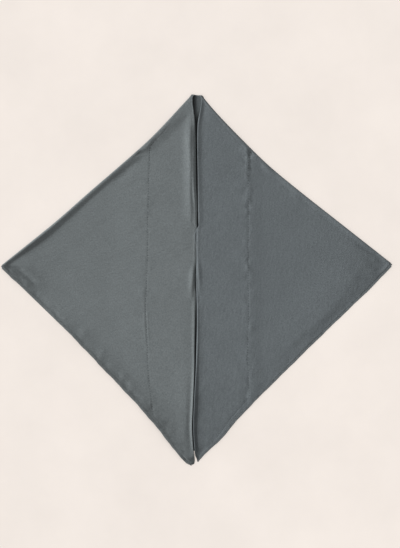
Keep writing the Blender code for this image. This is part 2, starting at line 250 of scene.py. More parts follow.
# Creases of the fronts. A path goes up or to the right: x, y, height. Then how wide the crease is on the
# left of its path and on the right of it.
CREASES = (
    # ridge beside the face slit, the groove on its right, and the lip of the slit
    (((-105, 1200, 3), (-115, 1400, 18), (-125, 1600, 26), (-130, 1860, 29), (-128, 2190, 36),
      (-125, 2520, 40), (-136, 2850, 47), (-145, 3060, 50), (-135, 3280, 34), (-120, 3500, 18),
      (-110, 3720, 12), (-125, 3940, 6)), 92, 105),
    (((-90, 1280, -4), (-82, 1530, -3), (-100, 1860, -7), (-106, 2190, -4), (-95, 2500, -2),
      (-100, 2850, -4), (-95, 3100, -2), (-87, 3260, -5), (-95, 3420, 0)), 22, 22),
    (((-18, 1200, 9), (-22, 1530, 10), (-46, 1860, 13), (-60, 2190, 8), (-54, 2520, 3), (-52, 2850, 8),
      (-55, 3060, 1), (-48, 3300, 8), (-58, 3500, 6), (-72, 3720, 6), (-90, 3920, 5)), 20, 26),
    # right lip of the slit and of the V
    (((44, 1180, 8), (62, 1310, 12), (58, 1530, 10), (48, 1860, 12), (42, 2190, 14), (32, 2520, 14),
      (26, 2850, 18), (28, 3060, 18), (34, 3300, 10), (50, 3500, 2)), 22, 60),
    (((30, 3220, 2), (52, 3460, 9), (92, 3720, 10), (112, 3920, 8)), 20, 30),
    # soft hollow on the right of the V
    (((120, 3420, -3), (140, 3600, -9), (170, 3820, -7)), 40, 110),
    # groove of the chin seam, and the lips on both sides of it
    (((-2, 360, -6), (-2, 700, -6), (0, 1100, -6)), 22, 16),
    (((-40, 400, 4), (-40, 700, 5), (-36, 1080, 4)), 30, 18),
    (((30, 300, 6), (30, 700, 4), (32, 1120, 5)), 18, 40),
    # hollow below the seam: swelling on its left, its bottom, and the fold on its right
    (((-118, -460, 3), (-108, -220, 14), (-84, 0, 27), (-68, 210, 18), (-52, 380, 0)), 68, 38),
    (((-34, -400, -3), (-34, -220, -6), (-38, 0, -16), (-22, 210, -24), (-8, 360, -6)), 24, 18),
    (((80, -280, 2), (56, 0, 12), (42, 210, 16), (30, 320, 8)), 28, 50),
    # rolled edge of the left front beside the lower slit, and the soft trough on its left
    (((-56, -3920, 6), (-62, -3720, 10), (-89, -3300, 13), (-66, -2630, 16), (-47, -1970, 14),
      (-50, -1500, 6), (-52, -1300, 0)), 36, 30),
    (((-56, -3920, 8), (-62, -3720, 14), (-89, -3300, 18), (-66, -2630, 13), (-47, -1970, 6),
      (-50, -1500, 0)), 300, 30),
    (((-60, -1700, 0), (-56, -1420, 9), (-50, -890, 10), (-52, -400, 5)), 34, 22),
    (((-125, -3720, -3), (-155, -3300, -16), (-145, -2900, -13), (-130, -2500, -8), (-128, -2050, -3)),
      62, 40),
    # rolled edge of the right front, the crease on its right, and the slope beyond
    (((-20, -3720, 14), (-52, -3300, 14), (-46, -2970, 16), (-34, -2630, 18), (0, -1970, 16),
      (24, -1420, 12), (28, -890, 10), (26, -350, 5)), 18, 22),
    (((10, -3720, -14), (-22, -3300, -20), (-6, -2900, -16), (2, -2630, -14), (34, -1970, -6),
      (46, -1420, -3)), 18, 24),
    (((14, -2200, 0), (14, -1900, 10), (34, -1420, 8), (40, -600, 5)), 30, 85),
    (((20, -3840, -8), (0, -3300, -8), (14, -2630, -6), (36, -2150, -3), (44, -1800, 0)), 24, 240),
    # puckers at the upper ends of the stitch rows
    (((-1316, 2764, -16), (-1160, 2790, -15), (-1010, 2854, -4)), 34, 42),
    (((-1270, 2830, 7), (-1100, 2900, 5)), 40, 30),
    (((1045, 2690, -12), (1110, 2770, -12), (1150, 2800, -20)), 36, 40),
    (((1160, 2680, -12), (1196, 2800, -22), (1230, 2860, -14)), 34, 50),
    (((1000, 2840, 8), (1040, 2900, 8)), 40, 30),
    (((1170, 2110, -4), (1174, 2300, -8), (1168, 2520, -6)), 24, 170),
    (((1200, 1800, -8), (1210, 1900, -7)), 30, 140),
    (((975, 2960, -6), (1010, 3050, -4)), 35, 35),
    (((1070, 2740, 10), (1120, 2800, 26), (1150, 2840, 20)), 60, 36),
    # light swellings along the upper right fold
    (((1510, 2450, 14), (1620, 2360, 14)), 90, 60),
    (((2140, 1880, 10), (2220, 1810, 10)), 70, 60),
    (((2580, 1520, 9), (2680, 1440, 9)), 70, 60),
    # lips of the left stitch row where it pulls hardest
    (((-1110, -1420, 2), (-1135, -900, 5), (-1140, -450, 2)), 22, 18),
    (((-1042, -1420, 2), (-1070, -900, 4), (-1080, -600, 1)), 20, 24),
    # short puckers above the lower left hem
    (((-2120, -1700, 12), (-2100, -1600, 14)), 40, 90),
    (((-1640, -2160, 8), (-1610, -2060, 11)), 50, 90),
    (((-1450, -2400, 6), (-1430, -2300, 9)), 70, 80),
    (((-2440, -1540, 8), (-2410, -1460, 12)), 30, 30),
    (((-2500, -1240, 6), (-2470, -1140, 8)), 60, 80),
    (((-2880, -1040, 8), (-2850, -980, 10)), 30, 50),
    # folds that cross the upper left fold
    (((-960, 2990, -6), (-850, 3080, -8)), 60, 80),
    (((-700, 3240, -8), (-560, 3350, -7)), 60, 90),
    (((-1720, 2200, -6), (-1540, 2330, -8)), 60, 80),
    # puckers at the lower ends of the stitch rows
    (((-1010, -2880, -9), (-960, -2780, -10)), 30, 30),
    (((-1080, -2850, -7), (-1020, -2810, -10)), 25, 30),
    (((1090, -2680, -6), (1080, -2560, -11), (1120, -2450, -7)), 50, 50),
    (((1180, -2760, -8), (1260, -2640, -8)), 30, 40),
    # left tip and the hem below it
    (((-4130, 224, -18), (-4060, 180, -10)), 22, 22),
    (((-4080, 330, -12), (-3880, 222, -16), (-3640, 30, -18), (-3440, -80, 0)), 60, 60),
    (((-3950, 0, -16), (-3840, -87, -14)), 24, 30),
    (((-3820, -150, -18), (-3770, -180, -10)), 24, 24),
    (((-3890, 210, -12), (-3870, 230, -12)), 26, 26),
    (((-3740, 50, -10), (-3620, 20, -10)), 40, 40),
    (((-4060, 130, 6), (-4010, 180, 10)), 30, 30),
    (((-3740, -120, 10), (-3690, -60, 12)), 30, 50),
    (((-3280, -580, 5), (-3240, -530, 8)), 40, 50),
    (((-3060, -780, 5), (-3020, -730, 8)), 40, 50),
    # right tip
    (((3540, 726, -8), (3640, 700, -14), (3860, 590, -20), (4040, 500, -26)), 28, 36),
    (((3550, -320, -6), (3710, -365, -14), (3790, -440, -16)), 28, 28),
    (((3460, -480, -9), (3540, -530, -9)), 28, 28),
    (((3740, 0, -5), (3860, -60, -6)), 40, 40),
    # swelling above the right hem, which it comes down to
    (((1500, -1850, 3), (2160, -1270, 13), (2750, -790, 22), (3150, -300, 18), (3450, 100, 10),
      (3560, 500, 0)), 500, 150),
    # the left front rises to the fold and to the side tip
    (((-3700, 200, 14), (-3300, 560, 10), (-2400, 1200, 4)), 300, 340),
    # curl of the lower left corner
    (((-250, -3850, 8), (-210, -3895, 30), (-155, -3912, 38), (-105, -3885, 26), (-88, -3835, 4)),
      40, 28),
)
# Slow unevenness of cloth that was laid down by hand: height, waves per metre along x and along y, start
UNEVENNESS = (
    (0.00022, 3.1, 4.2, 0.3),
    (0.00012, -2.4, 8.3, 1.7),
    (0.00006, 9.3, -7.6, 4.1),
    (0.00004, 4.2, 21.9, 2.6),
    (0.00003, -23.0, 27.0, 5.2),
    (0.00002, 36.0, -41.0, 0.9),
)
# A front rises to its hem: how much, and over what distance
HEM_RISE = {LEFT: (0.0020, 0.026), RIGHT: (0.0002, 0.020)}
# Below the side tip the left hem lies flat for a while: y of its middle, half its length, share of rise lost
FLAT_STRETCH = (-0.050, 0.034, 0.85)
ACROSS = 0.707  # share of a row's length that lies across the lower edges, at 45 degrees to it


def curve_through(knots, values, places):
    """Read a smooth curve through the values, which belong to rising knots, at some places."""
    knots = np.asarray(knots, float)
    values = np.asarray(values, float)
    steps = np.diff(knots)
    slopes = np.diff(values) / steps
    tangents = np.empty_like(values)
    tangents[0], tangents[-1] = slopes[0], slopes[-1]
    tangents[1:-1] = (slopes[:-1] * steps[1:] + slopes[1:] * steps[:-1]) / (steps[:-1] + steps[1:])
    places = np.clip(places, knots[0], knots[-1])
    i = np.clip(np.searchsorted(knots, places) - 1, 0, len(steps) - 1)
    h = steps[i]
    t = (places - knots[i]) / h
    return (
        values[i] * (1 + 2 * t) * (1 - t) ** 2
        + tangents[i] * h * t * (1 - t) ** 2
        + values[i + 1] * t * t * (3 - 2 * t)
        - tangents[i + 1] * h * t * t * (1 - t)
    )


def read_table(table, y, column):
    """Read a column of a table whose first column falls."""
    rows = np.array(table)[::-1] / TENTHS
    return curve_through(rows[:, 0], rows[:, column], y)


def read_side(table, y, side):
    """Read the column of one side from a table that has one for the left and then one for the right."""
    return read_table(table, y, 1 if side == LEFT else 2)


def smooth(value):
    value = np.clip(value, 0.0, 1.0)
    return value * value * (3.0 - 2.0 * value)


def unevenness(x, y):
    total = 0.0 * x
    for height, along_x, along_y, start in UNEVENNESS:
        total = total + height * np.sin(2 * math.pi * (along_x * x + along_y * y) + start)
    return total


def crease_relief(x, y, creases):
    """How far the creases lift the cloth at each point."""
    total = 0.0 * x
    for path, *widths in creases:
        path = np.array(path) / TENTHS
        left_width, right_width = np.array(widths) / TENTHS
        run = np.concatenate(([0.0], np.cumsum(np.hypot(*np.diff(path[:, :2], axis=0).T))))
        places = np.linspace(0.0, run[-1], 5 * (len(path) - 1) + 1)
        line = np.stack([curve_through(run, path[:, k], places) for k in range(3)], axis=1)
        near = 3.0 * max(left_width, right_width)
        low, high = line[:, :2].min(0) - near, line[:, :2].max(0) + near
        inside = (x > low[0]) & (x < high[0]) & (y > low[1]) & (y < high[1])
        px, py = x[inside], y[inside]
        best = np.full(px.shape, 1e9)
        lift = np.zeros(px.shape)
        for start, end in zip(line, line[1:]):
            way = end - start
            share = ((px - start[0]) * way[0] + (py - start[1]) * way[1]) / (way[0] ** 2 + way[1] ** 2)
            share = np.clip(share, 0.0, 1.0)
            dx, dy = px - start[0] - share * way[0], py - start[1] - share * way[1]
            distance = np.hypot(dx, dy)
            on_left = way[0] * dy - way[1] * dx > 0
            width = np.where(on_left, left_width, right_width)
            height = (start[2] + share * way[2]) * np.exp(-((distance / width) ** 2))
            closer = distance < best
            best = np.where(closer, distance, best)
            lift = np.where(closer, height, lift)
        total[inside] += lift
    return total


def left_hem_share(y):
    """How much of its rise and its wear the left hem keeps along the stretch where it lies flat."""
    place, reach, loss = FLAT_STRETCH
    return 1.0 - loss * np.exp(-(((y - place) / reach) ** 2))


def hem_rise_share(side, y):
    """How much of its rise a front has at its hem."""
    share = smooth((0.030 - y) / 0.03)
    return share * left_hem_share(y) if side == LEFT else share


def spots_relief(x, y, spots):
    """How far small round puckers lift the cloth. A spot: x, y, height, width."""
    total = 0.0 * x
    for spot_x, spot_y, height, width in spots:
        near = (np.abs(x - spot_x) < 3 * width) & (np.abs(y - spot_y) < 3 * width)
        total[near] += height * np.exp(-((x[near] - spot_x) ** 2 + (y[near] - spot_y) ** 2) / width**2)
    return total


# The rows of the folded cloth, from the top down. Each is a straight line from one outline to the other.
outline = np.array(OUTLINE) / TENTHS
middle = np.stack([(outline[:, 2] - outline[:, 0]) / 2, (outline[:, 1] + outline[:, 3]) / 2])
outline_run = np.concatenate(([0.0], np.cumsum(np.hypot(*np.diff(middle)))))
upper_run = np.linspace(0.0, outline_run[SIDE_TIP], UPPER_ROWS)
lower_run = np.linspace(outline_run[SIDE_TIP], outline_run[-1], LOWER_ROWS)[1:]
ROWS = UPPER_ROWS + LOWER_ROWS - 1
folded = np.arange(ROWS) < UPPER_ROWS


def hem_way(side):
    """The way out across a lower edge."""
    return np.array([side, -1.0]) / math.sqrt(2.0)


def outline_points(side):
    """The outline of one side, row by row. Above the side tip it is the fold, and below it the wavy hem."""
    knots = outline[:, :2] if side == LEFT else outline[:, 2:]
    above = knots[: SIDE_TIP + 1].copy()
    above[-1] -= hem_way(side) * HEM_WIDTH
    columns = []
    for column in (0, 1):
        upper = curve_through(outline_run[: SIDE_TIP + 1], above[:, column], upper_run)
        lower = curve_through(outline_run[SIDE_TIP:], knots[SIDE_TIP:, column], lower_run)
        columns.append(np.concatenate([upper, lower]))
    points = np.stack(columns, axis=1)
    run = lower_run - lower_run[0]
    calm = smooth(run / 0.03) * smooth((run[-1] - run) / 0.03)
    wave = sum(height * np.sin(turns * run + start + side) for height, turns, start in HEM_WAVES)
    wave = wave * calm * HEM_WAVE_SHARE[side]
    points[UPPER_ROWS:] += wave[:, None] * hem_way(side)
    return points


outer, back_outer = {}, {}
for side in (LEFT, RIGHT):
    edge = outline_points(side)
    outer[side] = edge.copy()
    outer[side][~folded] -= hem_way(side) * EDGE_INSET
    tip, bottom = outer[side][UPPER_ROWS - 1], outer[side][-1]
    share = np.clip((tip[1] - outer[side][:, 1]) / (tip[1] - bottom[1]), 0.0, 1.0)[:, None]
    corner = np.array([side * BACK_CORNER[0], BACK_CORNER[1]])
    back_outer[side] = tip * (1 - share) + corner * share

row_slope = (outer[RIGHT][:, 1] - outer[LEFT][:, 1]) / (outer[RIGHT][:, 0] - outer[LEFT][:, 0])
row_y = outer[LEFT][:, 1] - row_slope * outer[LEFT][:, 0]


def y_on_rows(x):
    return row_y[:, None] + row_slope[:, None] * x


def fold_height(side):
    return read_side(FOLDS, outer[side][:, 1], side)


def front_width(side):
    """From the face edge to the start of the fold or hem, row by row."""
    face = read_side(FACE_EDGES, row_y, side)
    end = outer[side][:, 0] - np.where(folded, side * (fold_height(side) + WALL) / 2 * FOLD_SLANT, 0.0)
    return face, np.abs(end - face)


# Columns of a front: at the face edge, from there to the stitch row, from there on, and at the outer edge
NEAR_COLUMNS = 14
FIRST_COLUMNS = 11
SECOND_COLUMNS = 28
RIM_COLUMNS = 20
NEAR_SPAN = 0.0165
RIM_SPAN = 0.046
CROWDING = 1.25
BESIDE_STITCHES = np.array([0.0018, 0.0035, 0.0055, 0.008])  # columns on either side of the stitch row
STITCH_LIMIT = 0.90  # share of a front's width beyond which no stitch row goes
STITCH_COLUMN = NEAR_COLUMNS + FIRST_COLUMNS + len(BESIDE_STITCHES)


def columns_between(start, end, count):
    return start + (end - start) * (np.arange(1, count + 1) / (count + 1))


def front_offsets(side):
    """Distances of a front's columns from its face edge. They crowd at the edges and along the stitch row."""
    face, width = front_width(side)
    stitch = np.abs(read_side(STITCH_ROWS, row_y, side) - face)
    stitch = np.minimum(stitch, STITCH_LIMIT * width)
    near_scale = np.minimum(1.0, stitch / 0.100)[:, None]
    far_scale = np.minimum(1.0, (width - stitch) / 0.055)[:, None]
    near = TURN_RADIUS + np.linspace(0.0, 1.0, NEAR_COLUMNS) ** CROWDING * NEAR_SPAN * near_scale
    before = stitch[:, None] - BESIDE_STITCHES[::-1] * near_scale
    after = stitch[:, None] + BESIDE_STITCHES * far_scale
    rim = width[:, None] - np.linspace(1.0, 0.0, RIM_COLUMNS) ** CROWDING * RIM_SPAN * far_scale
    first = columns_between(near[:, -1:], before[:, :1], FIRST_COLUMNS)
    second = columns_between(after[:, -1:], rim[:, :1], SECOND_COLUMNS)
    offsets = np.hstack([near, first, before, stitch[:, None], after, second, rim])
    return face[:, None], width[:, None], stitch[:, None], offsets


# Over this distance a front comes down beyond the edge of the turned-in band
FACING_STEP = {LEFT: 0.080, RIGHT: 0.034}


def back_faced(y):
    """1 where the turned-in band also lies on the back, near the top corner."""
    return smooth((y - 0.215) / 0.075)


def tip_fade(y):
    return 1.0 - smooth((outline[SIDE_TIP, 1] - y) / TIP_REACH)


# Fine puckers of a front: how strong they are beside its stitch row, and along its hem
ROW_PUCKERS = {LEFT: 1.0, RIGHT: 1.5}
HEM_PUCKERS = {LEFT: 1.0, RIGHT: 0.6}
pucker_random = np.random.RandomState(23)


def stitch_puckers(side):
    """Small puckers beside a stitch row, and a rougher lot along the hem below it."""
    spots = []
    y = 0.300
    while y > -0.290:
        x = float(read_side(STITCH_ROWS, y, side)) + pucker_random.uniform(-0.009, 0.007)
        height = pucker_random.uniform(-0.00065, 0.00070) * ROW_PUCKERS[side]
        spots.append((x, y, height, pucker_random.uniform(0.0030, 0.0065)))
        y -= pucker_random.uniform(0.004, 0.017)
    rows = np.arange(UPPER_ROWS, ROWS)
    place = 2.0
    while place < len(rows) - 3:
        x, y = (float(np.interp(place, np.arange(len(rows)), outer[side][rows, k])) for k in (0, 1))
        inwards = pucker_random.uniform(0.003, 0.017)
        height = pucker_random.uniform(-0.00110, 0.00070) * HEM_PUCKERS[side]
        width = pucker_random.uniform(0.0030, 0.0075)
        spots.append((x - side * 0.7 * inwards, y + 0.7 * inwards, height, width))
        place += pucker_random.uniform(0.8, 3.4)
    return spots


puckers = {side: stitch_puckers(side) for side in (LEFT, RIGHT)}

PUFF, PUFF_REACH = 0.0006, 0.025  # how much higher a front lies away from its edges, and from where on
PULL, PULL_WIDTH = 0.00030, 0.0017  # how far down the stitches draw it, and how far beside them
CALM_AT_FOLD, CALM_AT_HEM = 0.0055, 0.0035  # over this distance the creases die away at the outer edge
DEEPEST = -0.0009  # no crease goes deeper
SLIT_ENDS = (0.10, 0.345)


def front_relief(side, width, stitch, offset, x, y):
    """How far a front stands above its flat layer: puff, creases, rise to the hem, pull of the stitches."""
    inwards = width - offset
    puff = PUFF * smooth(inwards / PUFF_REACH) * (smooth(offset / PUFF_REACH) if side == LEFT else 1.0)
    calm_over = np.where(folded[:, None], CALM_AT_FOLD, CALM_AT_HEM)
    calm = smooth(inwards / np.minimum(calm_over, width / 3))
    fine = spots_relief(x, y, puckers[side]) * smooth(inwards / np.minimum(0.004, width / 3))
    if side == LEFT:
        slit = smooth((SLIT_ENDS[1] - y) / 0.02) * smooth((y - SLIT_ENDS[0]) / 0.02)
        calm = calm * (1.0 - 0.8 * slit * (1.0 - smooth((offset + 0.0005) / 0.0055)))
    pull = PULL * np.exp(-(((offset - stitch) / PULL_WIDTH) ** 2)) * smooth(inwards / 0.012)
    rise, reach = HEM_RISE[side]
    below = hem_rise_share(side, y) * smooth((width - 0.002) / 0.01)
    to_hem = rise * np.exp(-inwards * ACROSS / reach) * below
    return puff + (crease_relief(x, y, CREASES) + unevenness(x, y)) * calm + fine + to_hem - pull


def front_level(side, stitch, offset, y):
    """Height of a front's flat layer, which near the face edge lies on the turned-in band too."""
    faced = 1.0 - smooth((offset - stitch - 0.003) / FACING_STEP[side])
    layers = 1.0 + faced * (1.0 + back_faced(y))
    layers = layers * (1.0 - smooth((-0.384 - y) / 0.012))
    return BASE + LAYER * layers + FACED_LIFT * faced * back_faced(y)


def front_surface(side):
    """Points of a front, row by row, from its face edge to its outer edge."""
    face, width, stitch, offset = front_offsets(side)
    x = face + side * offset
    y = y_on_rows(x)
    level = front_level(side, stitch, offset, y)
    reach = read_table(FOLDS, y, 3) * FOLD_SLANT
    level_at_end = front_level(side, stitch, width, y_on_rows(face + side * width))
    lift = BASE + fold_height(side)[:, None] - level_at_end
    lift = lift * tip_fade(y) * (1.0 - smooth((width - offset) / reach))
    relief = front_relief(side, width, stitch, offset, x, y)
    z = level + lift + np.maximum(relief, DEEPEST - 0.8 * lift)
    return np.stack([x, y, np.maximum(z, BASE)], axis=2)


def turned_edge(side, front):
    """The long edge, turned under: round the edge and back beneath the front, whose form it follows."""
    x, z = front[:, 0, 0], front[:, 0, 2]
    radius = np.minimum(TURN_RADIUS, np.maximum(z - BASE, 0.0002) / 2)
    columns = []
    for angle in np.radians((45.0, 90.0, 135.0, 180.0)):
        columns.append((x - side * radius * np.sin(angle), z - radius * (1 - np.cos(angle))))
    away = side * (front[:, :, 0] - x[:, None])
    for depth in (0.25, 0.5, 0.75, 1.0):
        above = np.array([np.interp(TURN_DEPTH * depth, *row) for row in zip(away, front[:, :, 2])])
        columns.append((x + side * TURN_DEPTH * depth, np.maximum(above - 2 * radius, BASE)))
    strip = [np.stack([cx, row_y + row_slope * cx, cz], axis=1) for cx, cz in reversed(columns)]
    return np.stack(strip, axis=1)


def fold_roll(side, top, bottom, steps=8):
    """Half a turn round a fold, from the front's height down to the back's."""
    angle = math.pi * np.arange(1, steps)[None, :] / steps
    radius = (top[:, 2:3] - bottom) / 2
    x = top[:, 0:1] + side * radius * FOLD_SLANT * np.sin(angle)
    z = (top[:, 2:3] + bottom) / 2 + radius * np.cos(angle)
    return np.stack([x, y_on_rows(x), z], axis=2)


BACK_COLUMNS = 15

# Low creases of the back, written as those of the fronts are
BACK_CREASES = (
    (((-3300, 600, 5), (-2200, 300, 6), (-1000, -300, 2)), 120, 180),
    (((-1400, -2000, 3), (-600, -900, 6), (-300, 600, 4)), 140, 100),
    (((400, -2800, 2), (900, -1200, 6), (1000, 600, 3)), 100, 160),
    (((1500, -600, 3), (2600, 100, 6), (3600, 300, 4)), 160, 120),
    (((-600, 1800, 3), (200, 2400, 6), (600, 2900, 2)), 120, 120),
)


def back_surface(fronts):
    """Points of the back, row by row, from its left edge to its right one."""
    share = np.linspace(0.0, 1.0, BACK_COLUMNS)[None, :]
    left = np.where(folded, fronts[LEFT][:, -1, 0], back_outer[LEFT][:, 0])[:, None]
    right = np.where(folded, fronts[RIGHT][:, -1, 0], back_outer[RIGHT][:, 0])[:, None]
    x = left + (right - left) * share
    y_low = back_outer[LEFT][:, 1:2] * (1 - share) + back_outer[RIGHT][:, 1:2] * share
    y = np.where(folded[:, None], y_on_rows(x), y_low)
    inner = smooth((x - left) / 0.03) * smooth((right - x) / 0.03)
    z = WALL / 2 + crease_relief(x, y, BACK_CREASES) * inner
    return np.stack([x, y, z], axis=2)


def mesh_piece(name, points, faces, marks):
    """A smooth piece in the side light, with a value of each mark at every point."""
    mesh = bpy.data.meshes.new(name)
    mesh.from_pydata(points.tolist(), [], faces)
    for mark, values in marks.items():
        attribute = mesh.attributes.new(mark, "FLOAT", "POINT")
        attribute.data.foreach_set("value", values.astype(np.float32))
    mesh.shade_smooth()
    piece = bpy.data.objects.new(name, mesh)
    bpy.context.scene.collection.objects.link(piece)
    lit_from_side.objects.link(piece)
    return piece


def sheet_mesh(name, points, keep, marks):
    """A piece from a grid of points. Faces that aren't kept are where the sheet is cut."""
    rows, columns = points.shape[:2]
    number = np.arange(rows * columns).reshape(rows, columns)
    faces = np.stack([number[1:, :-1], number[1:, 1:], number[:-1, 1:], number[:-1, :-1]], axis=2)[keep]
    used = np.unique(faces)
    renumber = np.zeros(rows * columns, int)
    renumber[used] = np.arange(len(used))
    marks = {mark: values.reshape(-1)[used] for mark, values in marks.items()}
    return mesh_piece(name, points.reshape(-1, 3)[used], renumber[faces].tolist(), marks)


def give_wall(piece, wall):
    modifier = piece.modifiers.new("wall", "SOLIDIFY")
    modifier.thickness = wall
    modifier.offset = 0.0
    modifier.use_even_offset = False


THREAD_PITCH = 0.00055
WEAVE_DEPTH = 0.00016
DARKENING_STRENGTH = 0.16
INSIDE_SHADE = 0.86


def cloth_material(name, left_colour, right_shaded_colour):
    """Plain weave with a soft sheen. The right front's colour is darker, which is painted shade.
    Marks on the mesh say where that is, where painted shade darkens points deep inside the garment, and
    where the cloth is darkened in patches, mostly as painted shade."""
    material, tree, shader = start_material(name)
    where = add_node(tree, "ShaderNodeTexCoord").outputs["Object"]
    grain = add_node(tree, "ShaderNodeMapping", {"Vector": where, "Rotation": (0.0, 0.0, math.radians(44.0))})
    grain = grain.outputs["Vector"]

    def mark(attribute):
        return add_node(tree, "ShaderNodeAttribute", attribute_name=attribute).outputs["Fac"]

    # painted shade: the right front takes the darker colour
    side_shade = add_node(tree, "ShaderNodeMix", {"Factor": mark("right_side")}, data_type="RGBA")
    for socket in side_shade.inputs:
        if socket.type == "RGBA":
            socket.default_value = left_colour if socket.name == "A" else right_shaded_colour
    side_shaded_colour = next(socket for socket in side_shade.outputs if socket.type == "RGBA")

    # slubs along both thread directions, blotches, and a grain as fine as the threads
    slubs = []
    for stretch in ((28.0, 900.0, 400.0), (900.0, 28.0, 400.0)):
        drawn = add_node(tree, "ShaderNodeMapping", {"Vector": grain, "Scale": stretch}).outputs["Vector"]
        slubs.append(swing(tree, noise(tree, drawn, 1.0, 1.0), 0.05))
    tone = arithmetic(tree, "MULTIPLY", *slubs)
    tone = arithmetic(tree, "MULTIPLY", tone, swing(tree, noise(tree, where, 26.0, 3.0, 0.6), 0.08))
    tone = arithmetic(tree, "MULTIPLY", tone, swing(tree, noise(tree, where, 330.0, 2.0, 0.6), 0.30))
    # darkening in patches from the darkening mark, mostly painted shade; a noise makes it patchy
    patchy = arithmetic(tree, "MULTIPLY_ADD", noise(tree, where, 52.0, 3.0, 0.6), 3.0, -0.5)
    darkening = arithmetic(tree, "MULTIPLY", mark("darkening"), patchy)
    darkening = arithmetic(tree, "MULTIPLY_ADD", darkening, -DARKENING_STRENGTH, 1.0)
    # painted shade where the inside mark says a point lies deep in the garment
    dark = arithmetic(tree, "MULTIPLY_ADD", mark("inside"), -INSIDE_SHADE, 1.0)
    tone = arithmetic(tree, "MULTIPLY", arithmetic(tree, "MULTIPLY", tone, darkening), dark)
    colour = add_node(tree, "ShaderNodeHueSaturation", {"Color": side_shaded_colour, "Value": tone})
    tree.links.new(colour.outputs["Color"], shader.inputs["Base Color"])

    # the weave: each thread is a wave, and warp and weft take turns on top
    waves = {"Vector": grain, "Scale": math.pi / 10.0 / THREAD_PITCH}
    warp = add_node(tree, "ShaderNodeTexWave", waves, bands_direction="X").outputs["Fac"]
    weft = add_node(tree, "ShaderNodeTexWave", waves, bands_direction="Y").outputs["Fac"]
    squares = {"Vector": grain, "Scale": 1.0 / THREAD_PITCH}
    turns = add_node(tree, "ShaderNodeTexChecker", squares).outputs["Fac"]
    threads = add_node(tree, "ShaderNodeMix", {"Factor": turns, "A": warp, "B": weft}).outputs["Result"]
    crinkle = noise(tree, where, 240.0, 3.0, 0.6)
    height = arithmetic(tree, "MULTIPLY_ADD", crinkle, 2.2, threads)

    # fine soft folds from handling: nearly level on the left front, nearly upright on the right one
    streaks = []
    for turn, stretch in ((-14.0, (38.0, 210.0, 30.0)), (8.0, (170.0, 42.0, 30.0))):
        turned_by = (0.0, 0.0, math.radians(turn))
        laid = add_node(tree, "ShaderNodeMapping", {"Vector": where, "Rotation": turned_by})
        laid = add_node(tree, "ShaderNodeMapping", {"Vector": laid.outputs["Vector"], "Scale": stretch})
        streaks.append(noise(tree, laid.outputs["Vector"], 1.0, 2.5, 0.55))
    inputs = {"Factor": mark("right_side"), "A": streaks[0], "B": streaks[1]}
    fold = add_node(tree, "ShaderNodeMix", inputs).outputs["Result"]
    inputs = {"Strength": 0.8, "Distance": 0.0006, "Height": fold}
    soft = add_node(tree, "ShaderNodeBump", inputs).outputs["Normal"]
    inputs = {"Strength": 0.55, "Distance": WEAVE_DEPTH, "Height": height, "Normal": soft}
    bump = add_node(tree, "ShaderNodeBump", inputs)
    tree.links.new(bump.outputs["Normal"], shader.inputs["Normal"])
    rough = arithmetic(tree, "MULTIPLY_ADD", noise(tree, where, 90.0, 2.0), 0.14, 0.76)
    tree.links.new(rough, shader.inputs["Roughness"])
    shader.inputs["Specular IOR Level"].default_value = 0.25
    shader.inputs["Sheen Weight"].default_value = 0.12
    shader.inputs["Sheen Roughness"].default_value = 0.45
    shader.inputs["Sheen Tint"].default_value = (0.86, 0.95, 1.0, 1.0)
    return material


fronts = {side: front_surface(side) for side in (LEFT, RIGHT)}
turned = {side: turned_edge(side, fronts[side]) for side in (LEFT, RIGHT)}
rolls = {side: fold_roll(side, fronts[side][:, -1], WALL / 2) for side in (LEFT, RIGHT)}
back = back_surface(fronts)
strips = [
    turned[LEFT], fronts[LEFT], rolls[LEFT], back,
    rolls[RIGHT][:, ::-1], fronts[RIGHT][:, ::-1], turned[RIGHT][:, ::-1],
]
cloth_points = np.concatenate(strips, axis=1)
strip_number = np.concatenate([np.full(strip.shape[1], i) for i, strip in enumerate(strips)])
LEFT_TURN, LEFT_FRONT, LEFT_ROLL, BACK, RIGHT_ROLL, RIGHT_FRONT, RIGHT_TURN = range(7)

in_fold = np.isin(strip_number, (LEFT_ROLL, RIGHT_ROLL))
joins = in_fold[:-1] | in_fold[1:]
cut = (~folded[1:])[:, None] & joins[None, :]

on_right = np.isin(strip_number, (RIGHT_ROLL, RIGHT_FRONT, RIGHT_TURN)).astype(float)
right_side = np.repeat(on_right[None, :], ROWS, axis=0)
right_side[:, strip_number == BACK] = 0.5
# The inside mark is painted shade: the turned-under edges, and the back under the slit, are darker where they
# lie deep in the garment
inside = np.zeros(cloth_points.shape[:2])
turn_shade = np.array([1.0, 1.0, 1.0, 1.0, 0.95, 0.75, 0.35, 0.10])
SHADE_UNDER_SLIT = 0.9
inside[:, strip_number == LEFT_TURN] = turn_shade
inside[:, strip_number == RIGHT_TURN] = turn_shade[::-1]
on_back = strip_number == BACK
inside[:, on_back] = (1.0 - smooth((np.abs(back[:, :, 0]) - 0.012) / 0.02)) * SHADE_UNDER_SLIT
inside[:, on_back] *= 1.0 - smooth((back[:, :, 1] - 0.33) / 0.03)

# Darkening of the cloth in patches, as a mark: painted shade on the rolls of the folds and along the outer
# rims of the left front, and a painted shadow of the left rim on the right front below the slit. At the side
# tips, along the left hem and beyond the right stitch row the cloth is only darker. How strong it is, from
# where it sets in, and over what distance
FOLD_SHADE = 0.4
TOP_FOLD_SHADE = (1.2, 0.20, 0.08)
TIP_DARKENING = (0.70, 0.300, 0.08)
RIGHT_TIP_DARKENING = (0.55, 0.355, 0.04)
RIGHT_OUTER_DARKENING = (0.20, 0.0, 0.010)
SLIT_SHADOW = (1.35, 0.17, 0.13)
SLIT_SHADOW_REACH = 0.050
LEFT_HEM_DARKENING = 0.60
LOW_HEM_DARKENING = (1.0, 0.09, 0.26)
TIP_HEM_DARKENING = (0.7, 0.33, 0.06)
LEFT_HEM_REACH = 0.037


def sets_in(value, wear):
    strength, start, distance = wear
    return strength * smooth((value - start) / distance)


